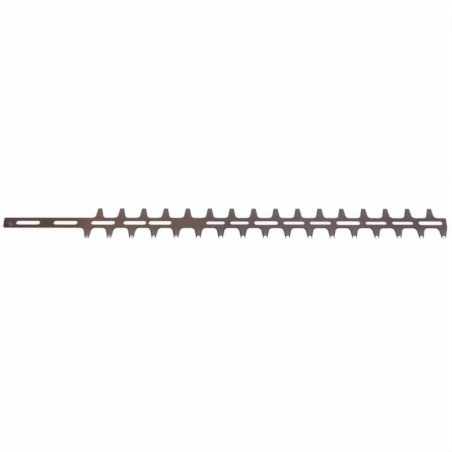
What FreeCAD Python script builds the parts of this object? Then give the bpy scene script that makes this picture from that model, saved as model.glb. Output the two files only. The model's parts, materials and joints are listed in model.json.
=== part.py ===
import FreeCAD, Part
import math
import os

from FreeCAD import Vector

# A hedge trimmer blade: one flat strip of tempered steel with teeth on both long edges.
# X runs from the rear (driven) end to the front end, Y across the blade, Z up.
# The flat sliding face lies on Z = 0, and the teeth are ground on the upper face.
# All lengths are in millimetres.

# Strip
thickness = 2.5
bar_width = 17.0
shank_length = 126.0          # rear end to the foot of the first tooth
end_corner_radius = 2.0

# Teeth
tooth_count = 17              # on the near (-Y) edge; the far edge has one fewer
tooth_pitch = 35.0
tooth_length = 18.4           # from the bar's edge to the tip
tooth_base = 14.0             # width at the bar's edge, before the root radius
tooth_tip = 6.6               # width at the tip, before the corner radius
root_radius = 6.0
tip_corner_radius = 0.6

# Grinding of the teeth
edge_land = 0.3               # height of the edge left square under the bevels
flank_bevel = 2.0             # width of the bevel along each flank
tip_bevel = 3.4               # length of the bevel at the tip
ground_corner_radius = 0.4    # corner left on the upper face between flank and tip

# Guide slots, where the blade slides on its guide bolts
guide_slot_length = 37.8
guide_slot_width = 7.6
rear_web = 19.5               # rear end to the first guide slot
front_web = 6.3               # last guide slot to the front end
shank_guide_count = 3
shank_guide_spacing = 59.25
front_guide_spacing = 130.0

# Windows that lighten the strip
drive_window_length = 36.0
drive_window_width = 7.6
drive_window_count = 2
drive_window_offset = 13.2    # last shank guide slot to the first of these windows
drive_window_web = 4.1
plain_stretch = 55.0          # unpierced length behind the front windows
bay_window_width = 6.3
bay_window_count = 2          # in each bay between two guide slots
bay_window_web = 8.4

# Worked out from the sizes above
blade_length = shank_length + tooth_base + (tooth_count - 1) * tooth_pitch
rear_x = -blade_length / 2
front_x = blade_length / 2
half_bar = bar_width / 2
flank_angle = math.atan((tooth_base - tooth_tip) / 2 / tooth_length)
parallel_angle = 1e-6         # radians under which two edges count as parallel


def rounded_edges(corners, z):
    """Edges of a closed outline at height z through (x, y, radius) corners, each rounded by its radius."""
    points = [Vector(x, y, z) for x, y, radius in corners]
    turns = []
    for i, (x, y, radius) in enumerate(corners):
        here = points[i]
        back = (points[i - 1] - here).normalize()
        ahead = (points[(i + 1) % len(points)] - here).normalize()
        half_angle = back.getAngle(ahead) / 2
        reach = radius / math.tan(half_angle)
        depth = radius / math.sin(half_angle) - radius
        inward = (back + ahead).normalize()
        turns.append((here + back * reach, here + inward * depth, here + ahead * reach))
    edges = []
    for i, (start, middle, end) in enumerate(turns):
        if corners[i][2] > 0:
            edges.append(Part.Arc(start, middle, end).toShape())
        following = turns[(i + 1) % len(turns)][0]
        edges.append(Part.LineSegment(end, following).toShape())
    return edges


def tooth_corners(ground):
    """Corners of one tooth, (along the edge, out from the edge, radius), square or at the ground face."""
    root_half = tooth_base / 2
    if not ground:
        return [
            (-root_half, 0.0, root_radius),
            (-tooth_tip / 2, tooth_length, tip_corner_radius),
            (tooth_tip / 2, tooth_length, tip_corner_radius),
            (root_half, 0.0, root_radius),
        ]
    # The bevel follows the flank and runs out where the root radius meets the bar's edge.
    inset = flank_bevel / math.cos(flank_angle)
    run_out = root_radius * (1 - math.sin(flank_angle)) / math.cos(flank_angle)
    ground_radius = (run_out + inset) * math.cos(flank_angle) / (1 - math.sin(flank_angle))
    ground_length = tooth_length - tip_bevel
    ground_root = root_half - inset
    ground_tip = ground_root - ground_length * math.tan(flank_angle)
    return [
        (-ground_root, 0.0, ground_radius),
        (-ground_tip, ground_length, ground_corner_radius),
        (ground_tip, ground_length, ground_corner_radius),
        (ground_root, 0.0, ground_radius),
    ]


def blade_outline(ground, z):
    """Outline of the strip with its teeth, counterclockwise from the rear end's near corner."""
    tooth = tooth_corners(ground)
    corners = [(rear_x, -half_bar, end_corner_radius)]
    first_near = rear_x + shank_length + tooth_base / 2
    for i in range(tooth_count):
        centre = first_near + i * tooth_pitch
        corners += [(centre + along, -half_bar - out, radius) for along, out, radius in tooth]
    # The strip is cut off square at the foot of the last near tooth, which has no outer root radius.
    corners[-1] = (front_x, -half_bar, 0.0)
    corners.append((front_x, half_bar, end_corner_radius))
    for i in reversed(range(tooth_count - 1)):
        centre = first_near + (i + 0.5) * tooth_pitch
        corners += [(centre - along, half_bar + out, radius) for along, out, radius in tooth]
    corners.append((rear_x, half_bar, end_corner_radius))
    return rounded_edges(corners, z)


def bevel(low, high):
    """Wall between an edge and the ground edge above it: flat between parallel lines, otherwise ruled."""
    a, b = low.firstVertex().Point, low.lastVertex().Point
    c, d = high.lastVertex().Point, high.firstVertex().Point
    straight = isinstance(low.Curve, Part.Line)
    if straight and (b - a).getAngle(c - d) < parallel_angle:
        return Part.Face(Part.makePolygon([a, b, c, d, a]))
    return Part.makeRuledSurface(low, high)


def toothed_strip():
    """Solid between the square outline below and the ground outline above."""
    square = blade_outline(False, 0.0)
    land = blade_outline(False, edge_land)
    ground = blade_outline(True, thickness)
    faces = [Part.Face(Part.Wire(square)), Part.Face(Part.Wire(ground))]
    faces += [edge.extrude(Vector(0, 0, edge_land)) for edge in square]
    faces += [bevel(low, high) for low, high in zip(land, ground)]
    shell = Part.makeShell(faces)
    shell.sewShape()
    return Part.Solid(shell).removeSplitter()


def slot(start, length, width):
    """Cutter for a slot with round ends, from start along the blade's middle."""
    radius = width / 2
    near = start + radius
    far = start + length - radius
    edges = [
        Part.LineSegment(Vector(near, -radius, 0), Vector(far, -radius, 0)).toShape(),
        Part.Arc(Vector(far, -radius, 0), Vector(far + radius, 0, 0), Vector(far, radius, 0)).toShape(),
        Part.LineSegment(Vector(far, radius, 0), Vector(near, radius, 0)).toShape(),
        Part.Arc(Vector(near, radius, 0), Vector(near - radius, 0, 0), Vector(near, -radius, 0)).toShape(),
    ]
    return Part.Face(Part.Wire(edges)).extrude(Vector(0, 0, thickness))


def bay_windows(bay_start, bay_end):
    """Equal windows that fill a bay, with a web at each end and between them."""
    fitting = int((bay_end - bay_start - bay_window_web) / (2 * bay_window_width + bay_window_web))
    count = min(bay_window_count, fitting)
    if count < 1:
        return []
    length = (bay_end - bay_start - (count + 1) * bay_window_web) / count
    step = length + bay_window_web
    starts = [bay_start + bay_window_web + i * step for i in range(count)]
    return [slot(start, length, bay_window_width) for start in starts]


def all_slots():
    """Guide slots and windows, from the rear end to the front end."""
    cutters = []
    for i in range(shank_guide_count):
        start = rear_x + rear_web + i * shank_guide_spacing
        cutters.append(slot(start, guide_slot_length, guide_slot_width))
    reached = start + guide_slot_length

    for i in range(drive_window_count):
        start = reached + (drive_window_web if i else drive_window_offset)
        cutters.append(slot(start, drive_window_length, drive_window_width))
        reached = start + drive_window_length

    # Front guide slots step back from the front end as far as the plain stretch allows.
    bay_start = reached + plain_stretch - bay_window_web
    last_start = front_x - front_web - guide_slot_length
    steps = int((last_start - bay_start) / front_guide_spacing)
    for i in reversed(range(steps + 1)):
        start = last_start - i * front_guide_spacing
        cutters += bay_windows(bay_start, start)
        cutters.append(slot(start, guide_slot_length, guide_slot_width))
        bay_start = start + guide_slot_length
    return cutters


os.makedirs("parts", exist_ok=True)
blade = toothed_strip().cut(all_slots())
blade = blade.removeSplitter().Solids[0]
blade.exportStep("parts/blade.step")
box = blade.BoundBox
print("blade", round(box.XLength, 3), round(box.YLength, 3), round(box.ZLength, 3), blade.isValid(),
      round(blade.Volume, 1), len(blade.Faces))
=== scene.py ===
import json
import math

import bpy
import numpy as np
from mathutils import Matrix, Vector, geometry


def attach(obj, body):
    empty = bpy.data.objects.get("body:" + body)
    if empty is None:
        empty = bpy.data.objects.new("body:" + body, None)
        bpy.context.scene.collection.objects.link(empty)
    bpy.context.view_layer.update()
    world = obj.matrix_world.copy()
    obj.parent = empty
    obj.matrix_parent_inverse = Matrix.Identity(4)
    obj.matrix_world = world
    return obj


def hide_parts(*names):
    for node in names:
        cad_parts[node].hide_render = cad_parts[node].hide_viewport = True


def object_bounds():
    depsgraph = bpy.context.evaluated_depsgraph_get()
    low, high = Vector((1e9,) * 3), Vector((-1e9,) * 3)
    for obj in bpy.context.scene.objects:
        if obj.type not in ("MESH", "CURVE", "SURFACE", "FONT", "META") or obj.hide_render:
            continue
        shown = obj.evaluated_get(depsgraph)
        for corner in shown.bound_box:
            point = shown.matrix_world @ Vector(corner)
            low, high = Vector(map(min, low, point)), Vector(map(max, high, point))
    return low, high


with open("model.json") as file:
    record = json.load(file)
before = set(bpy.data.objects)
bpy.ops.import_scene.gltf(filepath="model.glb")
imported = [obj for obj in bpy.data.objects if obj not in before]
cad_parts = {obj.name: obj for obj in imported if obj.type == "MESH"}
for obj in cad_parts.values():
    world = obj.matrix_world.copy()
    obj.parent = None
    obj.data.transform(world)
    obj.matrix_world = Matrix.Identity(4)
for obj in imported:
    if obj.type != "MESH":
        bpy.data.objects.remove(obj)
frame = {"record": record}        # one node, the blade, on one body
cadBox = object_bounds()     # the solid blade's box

mm = 0.001
scene = bpy.context.scene
scene.view_settings.view_transform = "Standard"


def seen(red, green, blue):
    # a colour as the eye sees it, 0 to 255, turned by the sRGB curve into the light that shaders take
    share = np.array([red, green, blue]) / 255
    light = np.where(share <= 0.04045, share / 12.92, ((share + 0.055) / 1.055) ** 2.4)
    return (*light.tolist(), 1.0)


def unit(vectors):
    # each vector divided by its own length
    return vectors / np.linalg.norm(vectors, axis=-1, keepdims=True)


# the toothed strip, in millimetres, along X from the driven end to the front end

rearX, frontX = cadBox[0].x / mm, cadBox[1].x / mm
mounts = {mount["name"]: mount for mount in frame["record"]["mounts"]}
guideDims = mounts["rear_guide_slots"]["dims"]

blade = dict(
    thickness=cadBox[1].z / mm,
    tipY=cadBox[1].y / mm,
    toothLength=18.4,           # from the bar's edge to the tip
    toothCount=17,              # on the near edge; the far edge has one fewer, half a pitch on
    pitch=35.0,
    toothBase=14.0,
    toothTip=6.6,
    rootRadius=6.0,
    tipRadius=0.6,
    endRadius=2.0,
    land=0.3,                   # square edge left under the ground bevels
    flankBevel=2.0,
    tipBevel=3.4,
    groundTipRadius=0.4,
    guideLength=guideDims["slot_length_mm"],
    guideWidth=2 * guideDims["hole_r_mm"],
    windowWidth=6.3,
    windowWeb=8.4,
    windowsPerBay=2,            # in each bay between two guide slots
    driveLength=36.0,           # of the two wide windows after the third guide slot
    driveOffset=13.2,
    driveWeb=4.1,
    plainStretch=55.0,          # unpierced length behind the narrow windows
    arcSteps=9,                 # flats along each rounded corner of the outline
    slotSteps=16,               # flats along each slot's round end
    edgeSteps=4,                # flats across each softened edge
    holdBack=0.25,              # extra points this far from each end of a straight run
    lowerSoft=0.10,             # how far the lower edges are softened
    landSoft=0.06,
    bevelSoft=0.16,
    slotSoft=0.15,              # the punch draws a slot's upper edge down a little
    rim=0.05,                   # flat border kept on both sides of a softened edge
    outerWear=(1, 0, 1),        # how worn the lower edge, the land's edge and the upper edge are
    slotWear=(0.15, 0.15),      # the same for a slot's upper and lower edge
    leastBevel=0.1,             # a bevel narrower than this counts as the sheared edge
    keenFrom=1.9,               # a bevel at least this wide comes down to a honed land
)
halfBar = blade["tipY"] - blade["toothLength"]


def toothCorners(ground):
    # a tooth is two root corners and two tip corners: along the edge, out from it, and the corner's radius;
    # at the upper face the flanks stand in by the bevel, and a larger root radius lets the bevel run out
    lean = math.atan((blade["toothBase"] - blade["toothTip"]) / 2 / blade["toothLength"])
    root = blade["toothBase"] / 2
    out = blade["toothLength"]
    tip = blade["toothTip"] / 2
    rootRadius, tipRadius = blade["rootRadius"], blade["tipRadius"]
    if ground:
        inset = blade["flankBevel"] / math.cos(lean)
        runOut = rootRadius * (1 - math.sin(lean)) / math.cos(lean)
        rootRadius = (runOut + inset) * math.cos(lean) / (1 - math.sin(lean))
        tipRadius = blade["groundTipRadius"]
        root -= inset
        out -= blade["tipBevel"]
        tip = root - out * math.tan(lean)
    foot, point = (root, 0, rootRadius), (tip, out, tipRadius)
    mirrored = np.array([-1, 1, 1])
    return np.array([foot * mirrored, point * mirrored, point, foot])


def bladeCorners(ground):
    # all corners of the strip, counterclockwise from the driven end: the near teeth, the front end,
    # then the far teeth back again
    tooth = toothCorners(ground)
    last = frontX - blade["toothBase"] / 2
    nearAt = last + blade["pitch"] * np.arange(1 - blade["toothCount"], 1)
    farAt = nearAt[:0:-1] - blade["pitch"] / 2
    near = tooth * (1, -1, 1) + np.stack([nearAt, 0 * nearAt - halfBar, 0 * nearAt], -1)[:, None]
    far = tooth * (-1, 1, 1) + np.stack([farAt, 0 * farAt + halfBar, 0 * farAt], -1)[:, None]
    near, far = near.reshape(-1, 3), far.reshape(-1, 3)
    end = blade["endRadius"]
    near[-1] = (frontX, -halfBar, end)    # the strip is cut off square at the foot of the last tooth
    return np.vstack([(rearX, -halfBar, end), near, (frontX, halfBar, end), far, (rearX, halfBar, end)])


def roundedOutline(corners):
    # every corner becomes an arc that touches both of its sides, with straight runs between the arcs;
    # gives the points and the outward directions, with two holding points on each straight run
    spot, radius = corners[:, :2], corners[:, 2:]
    back = unit(np.roll(spot, 1, 0) - spot)
    ahead = unit(np.roll(spot, -1, 0) - spot)
    half = np.arccos(np.clip((back * ahead).sum(1, keepdims=True), -1, 1)) / 2
    centre = spot + unit(back + ahead) * radius / np.sin(half)
    start = spot + back * radius / np.tan(half) - centre
    end = spot + ahead * radius / np.tan(half) - centre
    first = np.arctan2(start[:, 1], start[:, 0])
    turn = np.arctan2(start[:, 0] * end[:, 1] - start[:, 1] * end[:, 0], (start * end).sum(1))
    angle = first[:, None] + turn[:, None] * np.linspace(0, 1, blade["arcSteps"] + 1)
    away = np.stack([np.cos(angle), np.sin(angle)], -1)
    arc = centre[:, None] + radius[:, None] * away
    outward = away * np.sign(turn)[:, None, None]
    hold = ahead[:, None] * blade["holdBack"]
    runs = np.concatenate([arc, arc[:, -1:] + hold, np.roll(arc, -1, 0)[:, :1] - hold], 1)
    outward = np.concatenate([outward, outward[:, -1:], outward[:, -1:]], 1)
    return runs.reshape(-1, 2), outward.reshape(-1, 2)


def guideStarts(name):
    # the rear ends of a mount's two guide slots, which lie half their spacing either side of its place
    mount = mounts[name]
    offset = (np.arange(2) - 0.5) * mount["dims"]["spacing_x_mm"]
    return mount["pos_m"][0] / mm + offset - blade["guideLength"] / 2


def slotSpans():
    # start, length and width of each slot: guide slots where the mounts say, then the windows between them
    starts = [guideStarts(name) for name in ("rear_guide_slots", "middle_guide_slots", "front_guide_slots")]
    starts = np.concatenate(starts)
    spans = [(start, blade["guideLength"], blade["guideWidth"]) for start in starts]
    thirdEnd = starts[2] + blade["guideLength"]
    first = thirdEnd + blade["driveOffset"]
    second = first + blade["driveLength"] + blade["driveWeb"]
    spans += [(start, blade["driveLength"], blade["guideWidth"]) for start in (first, second)]
    web, count = blade["windowWeb"], blade["windowsPerBay"]
    plainEnd = second + blade["driveLength"] + blade["plainStretch"]
    bayStarts = [plainEnd - web, *(starts[3:5] + blade["guideLength"])]
    for bayStart, bayEnd in zip(bayStarts, starts[3:]):
        length = (bayEnd - bayStart - (count + 1) * web) / count
        spans += [(bayStart + web + i * (length + web), length, blade["windowWidth"]) for i in range(count)]
    return np.array(spans)


def slotOutlines(spans):
    # each slot is two half circles joined by straight runs, counterclockwise,
    # with the directions into the steel and a holding point at both ends of each straight run
    start, length, width = spans.T[:, :, None]
    radius = width / 2
    angle = np.linspace(-math.pi / 2, math.pi / 2, blade["slotSteps"] + 1)
    away = np.stack([np.cos(angle), np.sin(angle)], -1)
    away = np.concatenate([away, -away])
    middle = np.where(np.arange(len(away)) < len(angle), start + length - radius, start + radius)
    ring = radius[..., None] * away + np.stack([middle, 0 * middle], -1)
    into = np.broadcast_to(away, ring.shape)
    half, whole = len(angle), len(away)
    order = [*range(half), half - 1, half, *range(half, whole), whole - 1, 0]
    ring, into = ring[:, order], into[:, order]
    ring[:, [half, -1], 0] -= blade["holdBack"]
    ring[:, [half + 1, -2], 0] += blade["holdBack"]
    return ring, into


def atHeight(plan, z):
    # points of a plan lifted to one height
    return np.concatenate([plan, np.full((*plan.shape[:-1], 1), z)], -1)


def softenedSection(corners, reaches):
    # a section's corners, each an array of points along the path: every inner corner becomes a parabola
    # that starts and ends a reach away from it, with a flat rim before and after, and the two end corners
    # only say where the section comes from and goes to
    t = np.linspace(0, 1, blade["edgeSteps"] + 1).reshape(-1, *[1] * corners[0].ndim)
    rows = []
    for before, corner, after, reach in zip(corners, corners[1:], corners[2:], reaches):
        back, ahead = unit(before - corner), unit(after - corner)
        start, end = corner + back * reach, corner + ahead * reach
        bend = (1 - t) ** 2 * start + 2 * t * (1 - t) * corner + t ** 2 * end
        rows += [(start + back * blade["rim"])[None], bend, (end + ahead * blade["rim"])[None]]
    return np.concatenate(rows)


def bladePoints():
    # the outer wall is a section carried round the outline: lower face, square land, bevel, upper face;
    # a slot's wall is a section carried round the slot: upper face, drawn-in edge, wall, lower edge;
    # the bevel's width along the outline is how far the ground outline stands in from the square one
    thick, land = blade["thickness"], blade["land"]
    square, squareOut = roundedOutline(bladeCorners(False))
    ground, groundOut = roundedOutline(bladeCorners(True))
    wall = softenedSection(
        [atHeight(square - squareOut, 0), atHeight(square, 0), atHeight(square, land),
         atHeight(ground, thick), atHeight(ground - groundOut, thick)],
        [blade["lowerSoft"], blade["landSoft"], blade["bevelSoft"]])
    ring, into = slotOutlines(slotSpans())
    bore = softenedSection(
        [atHeight(ring + into, thick), atHeight(ring, thick), atHeight(ring, 0), atHeight(ring + into, 0)],
        [blade["slotSoft"], blade["lowerSoft"]])
    bevelWidth = ((square - ground) * squareOut).sum(1)
    return wall, bore, bevelWidth


def ringFaces(index):
    # four-cornered faces between neighbouring rows of a closed grid of point numbers
    turned = np.roll(index, -1, -1)
    return np.stack([index[:-1], turned[:-1], turned[1:], index[1:]], -1)


def capFaces(points, loops, upwards):
    # three-cornered Delaunay faces that fill the first loop, less those that lie inside one of the slots,
    # which are round-ended and so hold every face that has all its corners on one of them
    corners = np.concatenate(loops)
    lengths = [len(loop) for loop in loops]
    rings = np.split(np.arange(len(corners)), np.cumsum(lengths)[:-1])
    sides = np.concatenate([np.stack([ring, np.roll(ring, -1)], -1) for ring in rings])
    plan = points[corners, :2]
    insideOnly, sameWithin = 1, 1e-6
    filled = geometry.delaunay_2d_cdt(plan.tolist(), sides.tolist(), [], insideOnly, sameWithin)
    triangles, sources = filled[2:4]
    faces = np.array(sources)[:, 0][np.array(triangles)]
    first, second, third = np.repeat(np.arange(len(loops)), lengths)[faces].T
    faces = corners[faces[(first != second) | (second != third) | (first == 0)]]
    a, b, c = points[faces].transpose(1, 0, 2)[..., :2]
    turn = (b - a)[:, 0] * (c - a)[:, 1] - (b - a)[:, 1] * (c - a)[:, 0]
    return np.where(((turn > 0) == upwards)[:, None], faces, faces[:, ::-1])


rolled, cut, honed = range(3)    # each finish's place in the piece's list


def faceFinishes(wallFaces, boreFaces, bevelWidth):
    # a finish for each row of faces: the lower edge is rolled, the land honed and the bevel cut,
    # and a slot's wall is cut between two rolled edges; below a narrow bevel the land is left as it was cut
    bend = blade["edgeSteps"] + 1    # rows of points in a softened edge, between its two rims
    wallRows = np.repeat([rolled, honed, cut, rolled], [bend, bend + 2, bend + 2, 1])
    boreRows = np.repeat([rolled, cut, rolled], [bend, 3, bend])
    wall = np.broadcast_to(wallRows[:, None], wallFaces.shape[:2]).copy()
    bore = np.broadcast_to(boreRows[:, None, None], boreFaces.shape[:3])
    narrow = (bevelWidth + np.roll(bevelWidth, -1)) / 2 < blade["keenFrom"]
    wall[:, narrow] = np.minimum(wall[:, narrow], cut)
    return np.concatenate([wall.ravel(), bore.ravel()])


def pointWear(wall, bore):
    # how worn each point is: those inside a softened edge are, those on flat rims and walls aren't
    bend = blade["edgeSteps"] + 1
    inside = np.isin(np.arange(bend + 2), range(2, bend))
    outer = np.outer(blade["outerWear"], inside).ravel()
    slot = np.outer(blade["slotWear"], inside).ravel()
    outer = np.broadcast_to(outer[:, None], wall.shape[:2])
    slot = np.broadcast_to(slot[:, None, None], bore.shape[:3])
    return np.concatenate([outer.ravel(), slot.ravel()])


def runAlong(path):
    # millimetres run along a closed path at both ends of each of its steps
    step = np.linalg.norm(np.roll(path, -1, -2) - path, axis=-1)
    after = np.cumsum(step, -1)
    before = after - step
    return np.stack([before, after, after, before], -1)


def climbAcross(rows):
    # millimetres climbed across a section, row by row, at the four corners of each face
    climb = np.cumsum(np.linalg.norm(np.diff(rows, axis=0), axis=-1), 0)
    climb = np.concatenate([0 * climb[:1], climb])
    turned = np.roll(climb, -1, -1)
    return np.stack([climb[:-1], turned[:-1], turned[1:], climb[1:]], -1)


layout = dict(
    faceRows=2,                 # each flat face is cut across into this many rows
    edgeRow=240.0,              # millimetres of outer edge to a row
    slotsPerRow=4,
    slotRoom=95.0,              # room for one slot's wall, unrolled
    gap=0.9,                    # millimetres between rows
)


def stackedRows(along, across, row):
    # lays faces out flat in rows, each row starting at the left and lying a gap above the one before it
    starts = np.array([along[row == i].min() for i in range(row.max() + 1)])
    height = np.ptp(across) + layout["gap"]
    flat = np.stack([along - starts[row, None], across - across.min() + row[:, None] * height], -1)
    return flat.reshape(-1, 2), (row.max() + 1) * height


def flatLayout(points, upper, lower, wallRun, wallClimb, boreRun, boreClimb):
    # the piece unrolled without overlaps: both faces in plan, cut into rows,
    # then the edges and the slots' walls as strips
    groups = []
    for faces, side in ((upper, 1), (lower, -1)):
        x, y = points[faces, 0], points[faces, 1] * side
        share = (x.mean(1) - rearX) / (frontX - rearX)
        groups.append(stackedRows(x, y, (share * layout["faceRows"]).astype(int)))
    run = np.broadcast_to(wallRun, wallClimb.shape).reshape(-1, 4)
    row = (run[:, 0] / layout["edgeRow"]).astype(int)
    groups.append(stackedRows(run, wallClimb.reshape(-1, 4), row))
    slots = np.arange(len(boreRun))
    run = boreRun + (slots % layout["slotsPerRow"] * layout["slotRoom"])[:, None, None]
    run = np.broadcast_to(run, boreClimb.shape).reshape(-1, 4)
    row = np.broadcast_to((slots // layout["slotsPerRow"])[:, None], boreClimb.shape[:-1]).ravel()
    groups.append(stackedRows(run, boreClimb.reshape(-1, 4), row))
    below = np.cumsum([0] + [height for flat, height in groups])
    flat = np.concatenate([flat + (0, low) for (flat, height), low in zip(groups, below)])
    return (flat + layout["gap"] / 2) / (flat.max(0) + layout["gap"])


def addMap(mesh, name, places):
    # a UV map with one place for each corner of each face
    layer = mesh.uv_layers.new(name=name)
    layer.uv.foreach_set("vector", places.astype(np.float32).ravel())


def addValues(mesh, name, values):
    # one number for each point, for the finishes to read
    mesh.attributes.new(name, "FLOAT", "POINT").data.foreach_set("value", values.astype(np.float32))


def makeBlade(finishes):
    # the rows of both sections become rings of faces, and both flat faces are filled in between the rings
    wall, bore, bevelWidth = bladePoints()
    wallIndex = np.arange(wall[..., 0].size).reshape(wall.shape[:-1])
    boreIndex = wallIndex.size + np.arange(bore[..., 0].size).reshape(bore.shape[:-1])
    points = np.concatenate([wall.reshape(-1, 3), bore.reshape(-1, 3)])
    upper = capFaces(points, [wallIndex[-1], *boreIndex[0]], True)
    lower = capFaces(points, [wallIndex[0], *boreIndex[-1]], False)
    wallFaces, boreFaces = ringFaces(wallIndex), ringFaces(boreIndex)
    faces = upper.tolist() + lower.tolist()
    faces += wallFaces.reshape(-1, 4).tolist() + boreFaces.reshape(-1, 4).tolist()
    mesh = bpy.data.meshes.new("toothedBlade")
    mesh.from_pydata((points * mm).tolist(), [], faces)

    for material in finishes:
        mesh.materials.append(material)
    flatFinish = np.full(len(upper) + len(lower), rolled)
    finish = np.concatenate([flatFinish, faceFinishes(wallFaces, boreFaces, bevelWidth)])
    mesh.polygons.foreach_set("material_index", finish.astype(np.int32))
    mesh.polygons.foreach_set("use_smooth", np.ones(len(faces), bool))
    wallWidth = np.broadcast_to(bevelWidth, wall.shape[:2])
    addValues(mesh, "edgeWear", pointWear(wall, bore))
    addValues(mesh, "bevelWidth", np.concatenate([wallWidth.ravel(), np.zeros(boreIndex.size)]))

    # one map runs along the edges and up them, the other lays the whole piece out flat
    wallRun, boreRun = runAlong(wall[1, :, :2]), runAlong(bore[-2, :, :, :2])
    wallClimb, boreClimb = climbAcross(wall), climbAcross(bore)
    caps = points[np.concatenate([upper, lower]).ravel(), :2]
    walls = [np.stack(np.broadcast_arrays(run, climb), -1).reshape(-1, 2)
             for run, climb in ((wallRun, wallClimb), (boreRun, boreClimb))]
    addMap(mesh, "edgeRun", np.concatenate([caps, *walls]))
    addMap(mesh, "OFBake", flatLayout(points, upper, lower, wallRun, wallClimb, boreRun, boreClimb))
    mesh.update()
    piece = bpy.data.objects.new("toothedBlade", mesh)
    scene.collection.objects.link(piece)
    print("blade mesh:", len(points), "points,", len(faces), "faces")
    return piece


# finishes

cloudRange = (0.3, 0.7)         # what a cloudy pattern mostly stays within
middleRange = (0.35, 0.65)      # the part of it that colours and roughness change over


def steel(name, metallic):
    # a new material with its node tree and its shader
    material = bpy.data.materials.new(name)
    material.use_nodes = True
    tree = material.node_tree
    shader = tree.nodes["Principled BSDF"]
    shader.inputs["Metallic"].default_value = metallic
    return material, tree, shader


def wired(tree, kind, sockets, **settings):
    # a new node with its settings; each socket takes a plain value or another node's output
    node = tree.nodes.new("ShaderNode" + kind)
    for name, value in settings.items():
        setattr(node, name, value)
    for name, value in sockets.items():
        if isinstance(value, bpy.types.NodeSocket):
            tree.links.new(value, node.inputs[name])
        else:
            node.inputs[name].default_value = value
    return node.outputs


def noise(tree, place, size, detail=2.0, distortion=0.0, stretch=(1, 1, 1)):
    # cloudy pattern from 0 to 1 with spots about this size, stretched by these factors
    squeeze = [1 / (size * factor) for factor in stretch]
    place = wired(tree, "Mapping", {"Vector": place, "Scale": squeeze})[0]
    sockets = {"Vector": place, "Scale": 1.0, "Detail": detail, "Distortion": distortion}
    return wired(tree, "TexNoise", sockets)[0]


def spread(tree, value, low, high, toLow, toHigh):
    # one range of values stretched onto another and held at both ends
    sockets = {"Value": value, "From Min": low, "From Max": high, "To Min": toLow, "To Max": toHigh}
    return wired(tree, "MapRange", sockets)[0]


def ramp(tree, value, stops):
    # colours between listed stops
    outputs = wired(tree, "ValToRGB", {"Fac": value})
    elements = outputs[0].node.color_ramp.elements
    for at, colour in stops[1:-1]:
        elements.new(at).color = colour
    for end in (0, -1):
        elements[end].position, elements[end].color = stops[end]
    return outputs[0]


def mixed(tree, blend, factor, first, second):
    # two colours blended; the Mix node takes colours at inputs 6 and 7 and gives one at output 2
    return wired(tree, "Mix", {0: factor, 6: first, 7: second}, data_type="RGBA", blend_type=blend)[2]


def joined(tree, operation, first, second):
    # two numbers joined by one operation
    return wired(tree, "Math", {0: first, 1: second}, operation=operation)[0]


rolledSteel = dict(
    metallic=0.9,
    temper=[                    # share of the length from the driven end, and the heat colour there
        (0.01, seen(83, 67, 69)),
        (0.10, seen(97, 76, 67)),
        (0.20, seen(117, 92, 80)),
        (0.42, seen(113, 94, 88)),
        (0.52, seen(103, 91, 94)),
        (0.72, seen(118, 98, 100)),
        (0.93, seen(98, 87, 96)),
        (1.00, seen(107, 93, 104)),
    ],
    drift=dict(size=45.0),
    temperDrift=(-0.05, 0.05),  # how far the heat colours wander along the length
    patch=dict(size=13.0, detail=3.0, distortion=0.8),
    patchTints=[                # olive, plain and wine red patches, as shares of the heat colour
        (0.34, (0.93, 0.97, 0.84, 1)),
        (0.50, (0.97, 0.96, 0.96, 1)),
        (0.66, (1.0, 0.88, 0.94, 1)),
    ],
    grain=dict(size=0.9, detail=4.0),
    lines=dict(size=0.5, detail=3.0, stretch=(80, 1, 80)),    # rolling lines, drawn out along the strip
    markRange=(0.38, 0.62),
    markShades=(0.80, 1.04),    # darkest and lightest share that grain and lines leave of the colour
    specks=dict(size=0.7, detail=1.0),
    speckRange=(0.62, 0.72),
    speckShades=(1.0, 0.78),    # small dark specks of scale
    roughness=(0.30, 0.54),
    paleColour=seen(150, 142, 144),
    nearPale=0.32,              # how much paler the near teeth get towards their tips
    farPale=0.16,
    wornColour=seen(150, 141, 138),
    wornRange=(0.35, 0.6),
    wornShares=(0.2, 0.6),      # how bare the softened edges are, by the grain
    markLightAndShade=[                    # painted highlight and painted shade of a small round mark, as light and dark patches: place from the driven end and the middle, half size, colour and share
        ((10.5, -1.4), (3.2, 1.3), seen(130, 108, 114), 0.75),
        ((12.0, -4.9), (2.9, 2.6), seen(113, 104, 112), 0.70),
        ((4.5, -4.9), (3.1, 2.6), seen(62, 54, 55), 0.75),
    ],
    markPatchFade=(0.6, 1.2),       # where a painted patch starts to fade and ends, in half sizes
    strokes=dict(size=0.45, stretch=(7, 1, 7)),
    strokeReach=(-0.6, 0.6),    # how far the strokes break a painted patch's outline up
    bumpDepth=0.04,
    bumpStrength=0.4,
)


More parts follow.
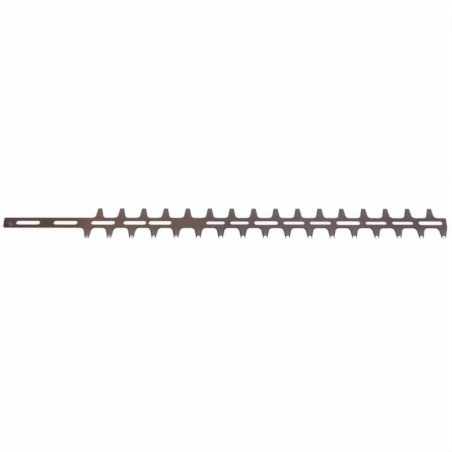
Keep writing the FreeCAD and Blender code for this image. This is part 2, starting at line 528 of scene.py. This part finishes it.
def rolledFace():
    # brown heat-tinted strip: its colour changes along the length and in soft patches,
    # with grain, rolling lines and specks over it
    look = rolledSteel
    material, tree, shader = steel("rolledFace", look["metallic"])
    place = wired(tree, "TexCoord", {})["Object"]
    place = wired(tree, "VectorMath", {0: place, "Scale": 1 / mm}, operation="SCALE")[0]
    along, across = wired(tree, "SeparateXYZ", {0: place})[:2]
    share = spread(tree, along, rearX, frontX, 0.0, 1.0)
    drift = spread(tree, noise(tree, place, **look["drift"]), *cloudRange, *look["temperDrift"])
    colour = ramp(tree, joined(tree, "ADD", share, drift), look["temper"])

    patches = ramp(tree, noise(tree, place, **look["patch"]), look["patchTints"])
    colour = mixed(tree, "MULTIPLY", 1.0, colour, patches)
    grain = noise(tree, place, **look["grain"])
    lines = noise(tree, place, **look["lines"])
    marks = joined(tree, "MULTIPLY", joined(tree, "ADD", grain, lines), 1 / 2)    # the mean of both
    markShade = spread(tree, marks, *look["markRange"], *look["markShades"])
    colour = mixed(tree, "MULTIPLY", 1.0, colour, markShade)
    specks = noise(tree, place, **look["specks"])
    speckShade = spread(tree, specks, *look["speckRange"], *look["speckShades"])
    colour = mixed(tree, "MULTIPLY", 1.0, colour, speckShade)

    # the teeth are paler than the bar, most of all at their tips
    groundTip = blade["tipY"] - blade["tipBevel"]
    nearPale = spread(tree, across, -halfBar, -groundTip, 0.0, look["nearPale"])
    farPale = spread(tree, across, halfBar, groundTip, 0.0, look["farPale"])
    colour = mixed(tree, "MIX", joined(tree, "ADD", nearPale, farPale), colour, look["paleColour"])

    # painted highlight and painted shade on the upper face near the driven end: light and dark patches for
    # the lit and shaded sides of a small round mark, broken into strokes along the strip
    strokes = spread(tree, noise(tree, place, **look["strokes"]), *cloudRange, *look["strokeReach"])
    for (fromEnd, fromMiddle), half, markPaint, most in look["markLightAndShade"]:
        spot = (rearX + fromEnd, fromMiddle, blade["thickness"])
        sockets = {"Vector": place, "Location": spot, "Scale": (*half, 1)}
        reach = wired(tree, "Mapping", sockets, vector_type="TEXTURE")[0]
        reach = wired(tree, "VectorMath", {0: reach}, operation="LENGTH")["Value"]
        covered = spread(tree, joined(tree, "ADD", reach, strokes), *look["markPatchFade"], most, 0.0)
        colour = mixed(tree, "MIX", covered, colour, markPaint)

    # softened edges rubbed towards bare steel
    worn = wired(tree, "Attribute", {}, attribute_name="edgeWear")["Fac"]
    bare = joined(tree, "MULTIPLY", worn, spread(tree, grain, *look["wornRange"], *look["wornShares"]))
    colour = mixed(tree, "MIX", bare, colour, look["wornColour"])
    tree.links.new(colour, shader.inputs["Base Color"])

    tree.links.new(spread(tree, marks, *middleRange, *look["roughness"]), shader.inputs["Roughness"])
    sockets = {"Height": marks, "Strength": look["bumpStrength"], "Distance": look["bumpDepth"] * mm}
    tree.links.new(wired(tree, "Bump", sockets)[0], shader.inputs["Normal"])
    return material


punchedSteel = dict(
    torn=seen(42, 38, 40),
    burnished=seen(58, 53, 55),
    burnishRange=(1.4, 1.6),    # millimetres up the edge where the torn steel turns smooth
    wander=(-0.5, 0.5),
    lines=dict(size=0.3, detail=3.0, stretch=(1, 12, 1)),     # lines that the punch draws down the edge
    lineShades=(0.86, 1.0),
    roughness=(0.55, 0.34),
    bumpDepth=0.03,
)


def punchedParts(tree, run, up):
    # colour, roughness and height of an edge as the punch sheared it, torn below and smooth above
    look = punchedSteel
    drawn = noise(tree, run, **look["lines"])
    band = joined(tree, "ADD", up, spread(tree, drawn, *cloudRange, *look["wander"]))
    smooth = spread(tree, band, *look["burnishRange"], 0.0, 1.0)
    colour = mixed(tree, "MIX", smooth, look["torn"], look["burnished"])
    colour = mixed(tree, "MULTIPLY", 1.0, colour, spread(tree, drawn, *cloudRange, *look["lineShades"]))
    roughness = spread(tree, smooth, 0.0, 1.0, *look["roughness"])
    return colour, roughness, joined(tree, "MULTIPLY", drawn, look["bumpDepth"])


groundSteel = dict(
    shades=(seen(86, 85, 87), seen(108, 107, 108)),
    lines=dict(size=0.22, detail=3.0, stretch=(1, 40, 1)),    # grinding lines, drawn out across the bevel
    roughness=(0.18, 0.26),
    bumpDepth=0.007,
    endBlend=0.12,              # how softly the bevel ends where it runs out
    endWander=0.15,
)


def groundParts(tree, run, up):
    # colour, roughness and height of a bright ground bevel, and 1 where the wheel has ground the edge:
    # a bevel's lower end climbs as the bevel narrows towards a root, and the sheared edge is left below it
    look = groundSteel
    wheel = noise(tree, run, **look["lines"])
    colour = ramp(tree, wheel, list(zip(middleRange, look["shades"])))
    roughness = spread(tree, wheel, *cloudRange, *look["roughness"])
    height = joined(tree, "MULTIPLY", wheel, look["bumpDepth"])
    width = wired(tree, "Attribute", {}, attribute_name="bevelWidth")["Fac"]
    lowest = blade["land"] - look["endBlend"] - look["endWander"]
    end = spread(tree, width, blade["leastBevel"], blade["flankBevel"], blade["thickness"], lowest)
    end = joined(tree, "ADD", end, spread(tree, wheel, *cloudRange, 0.0, look["endWander"]))
    ground = spread(tree, joined(tree, "SUBTRACT", up, end), 0.0, look["endBlend"], 0.0, 1.0)
    return colour, roughness, height, ground


cutSteel = dict(metallic=1.0, bumpStrength=0.3)


def cutEdge():
    # the sheared edge with the ground bevel over it
    look = cutSteel
    material, tree, shader = steel("cutEdge", look["metallic"])
    run = wired(tree, "UVMap", {}, uv_map="edgeRun")[0]
    place = wired(tree, "TexCoord", {})["Object"]
    up = joined(tree, "DIVIDE", wired(tree, "SeparateXYZ", {0: place})["Z"], mm)
    sheared, shearedRough, shearedHeight = punchedParts(tree, run, up)
    bright, brightRough, brightHeight, ground = groundParts(tree, run, up)

    tree.links.new(mixed(tree, "MIX", ground, sheared, bright), shader.inputs["Base Color"])
    tree.links.new(spread(tree, ground, 0.0, 1.0, shearedRough, brightRough), shader.inputs["Roughness"])
    height = spread(tree, ground, 0.0, 1.0, shearedHeight, brightHeight)
    bump = wired(tree, "Bump", {"Height": height, "Strength": look["bumpStrength"], "Distance": mm})[0]
    tree.links.new(bump, shader.inputs["Normal"])
    return material


honedSteel = dict(
    metallic=1.0,
    shades=(seen(190, 187, 186), seen(222, 219, 217)),
    lines=dict(size=0.6, stretch=(12, 0.1, 1)),               # fine lines drawn out along the cutting edge
    roughness=(0.22, 0.34),
)


def honedLand():
    # the narrow bright land that is left along a cutting edge
    look = honedSteel
    material, tree, shader = steel("honedLand", look["metallic"])
    run = wired(tree, "UVMap", {}, uv_map="edgeRun")[0]
    lines = noise(tree, run, **look["lines"])
    tree.links.new(ramp(tree, lines, list(zip(middleRange, look["shades"]))), shader.inputs["Base Color"])
    tree.links.new(spread(tree, lines, *cloudRange, *look["roughness"]), shader.inputs["Roughness"])
    return material


finishes = [rolledFace(), cutEdge(), honedLand()]
print("finishes:", *[material.name for material in finishes])
piece = makeBlade(finishes)
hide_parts("blade")
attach(piece, "root")


# floor, light and camera

studio = dict(
    floorSize=8.0,              # metres
    floorColour=seen(254, 254, 254),
    floorRoughness=0.9,
    floorGlow=0.5,              # share of the floor's white that no shadow dims
    floorDrop=0.02,             # millimetres that the floor lies below the blade
    skyLight=0.58,              # what the surroundings give to matt surfaces
    lamps=dict(                 # angles in degrees, azimuth from the camera's side towards the front end
        key=dict(strength=1.6, width=28.0, elevation=55.0, azimuth=9.0),       # large and soft
        fill=dict(strength=0.15, width=34.0, elevation=9.0, azimuth=107.0),    # faint and low
    ),
)


def lookedAt(tree):
    # 1 for what the camera sees straight, in a reflection or through something clear
    path = wired(tree, "LightPath", {})
    shown = joined(tree, "MAXIMUM", path["Is Camera Ray"], path["Is Glossy Ray"])
    return joined(tree, "MAXIMUM", shown, path["Is Transmission Ray"])


def addFloor():
    # a wide square sheet of white paper just under the blade
    mesh = bpy.data.meshes.new("floor")
    corners = np.array([(-1, -1, 0), (1, -1, 0), (1, 1, 0), (-1, 1, 0)]) * studio["floorSize"] / 2
    mesh.from_pydata(corners.tolist(), [], [(0, 1, 2, 3)])
    floor = bpy.data.objects.new("floor", mesh)
    floor.location.z = -studio["floorDrop"] * mm
    scene.collection.objects.link(floor)
    paper = bpy.data.materials.new("paperFloor")
    paper.use_nodes = True
    tree = paper.node_tree
    shader = tree.nodes["Principled BSDF"]
    shader.inputs["Base Color"].default_value = studio["floorColour"]
    shader.inputs["Roughness"].default_value = studio["floorRoughness"]
    shader.inputs["Specular IOR Level"].default_value = 0.0

    # lit from behind as well where it is looked at, so that shadows on it stay faint
    glow = wired(tree, "Emission", {"Color": studio["floorColour"], "Strength": 1.0})[0]
    share = spread(tree, lookedAt(tree), 0.0, 1.0, 0.0, studio["floorGlow"])
    surface = wired(tree, "MixShader", {0: share, 1: shader.outputs[0], 2: glow})[0]
    tree.links.new(surface, tree.nodes["Material Output"].inputs["Surface"])
    mesh.materials.append(paper)


def addSurroundings():
    # white where the camera, a reflection or something clear shows them, softer as light on the blade
    world = bpy.data.worlds.new("surroundings")
    scene.world = world
    world.use_nodes = True
    tree = world.node_tree
    sky = tree.nodes["Background"]
    sky.inputs["Color"].default_value = studio["floorColour"]
    tree.links.new(spread(tree, lookedAt(tree), 0.0, 1.0, studio["skyLight"], 1.0), sky.inputs["Strength"])


def addLamp(name, strength, width, elevation, azimuth):
    # a sun that is this many degrees wide and shines from this height and side
    lamp = bpy.data.lights.new(name, "SUN")
    lamp.energy = strength
    lamp.angle = math.radians(width)
    sun = bpy.data.objects.new(name, lamp)
    a, e = math.radians(azimuth), math.radians(elevation)
    towards = Vector((math.sin(a) * math.cos(e), -math.cos(a) * math.cos(e), math.sin(e)))
    sun.rotation_euler = towards.to_track_quat("Z", "Y").to_euler()
    scene.collection.objects.link(sun)


view = dict(
    elevation=61.4,             # degrees above the floor
    distance=1.345,             # metres
    lens=67.79,
    target=(1.35, -4.8, 0),     # millimetres from the blade's middle
    roll=0.085,                 # degrees
)


def addCamera():
    # looks down at its target from the near side, with a slight roll
    lens = bpy.data.cameras.new("camera")
    lens.lens = view["lens"]
    camera = bpy.data.objects.new("camera", lens)
    e = math.radians(view["elevation"])
    turn = Matrix.Rotation(math.pi / 2 - e, 4, "X") @ Matrix.Rotation(math.radians(view["roll"]), 4, "Z")
    place = Vector(view["target"]) * mm + Vector((0, -math.cos(e), math.sin(e))) * view["distance"]
    camera.matrix_world = Matrix.Translation(place) @ turn
    scene.collection.objects.link(camera)
    scene.camera = camera


addFloor()
addSurroundings()
for name, lamp in studio["lamps"].items():
    addLamp(name, **lamp)
addCamera()
print("floor, light and camera are in")
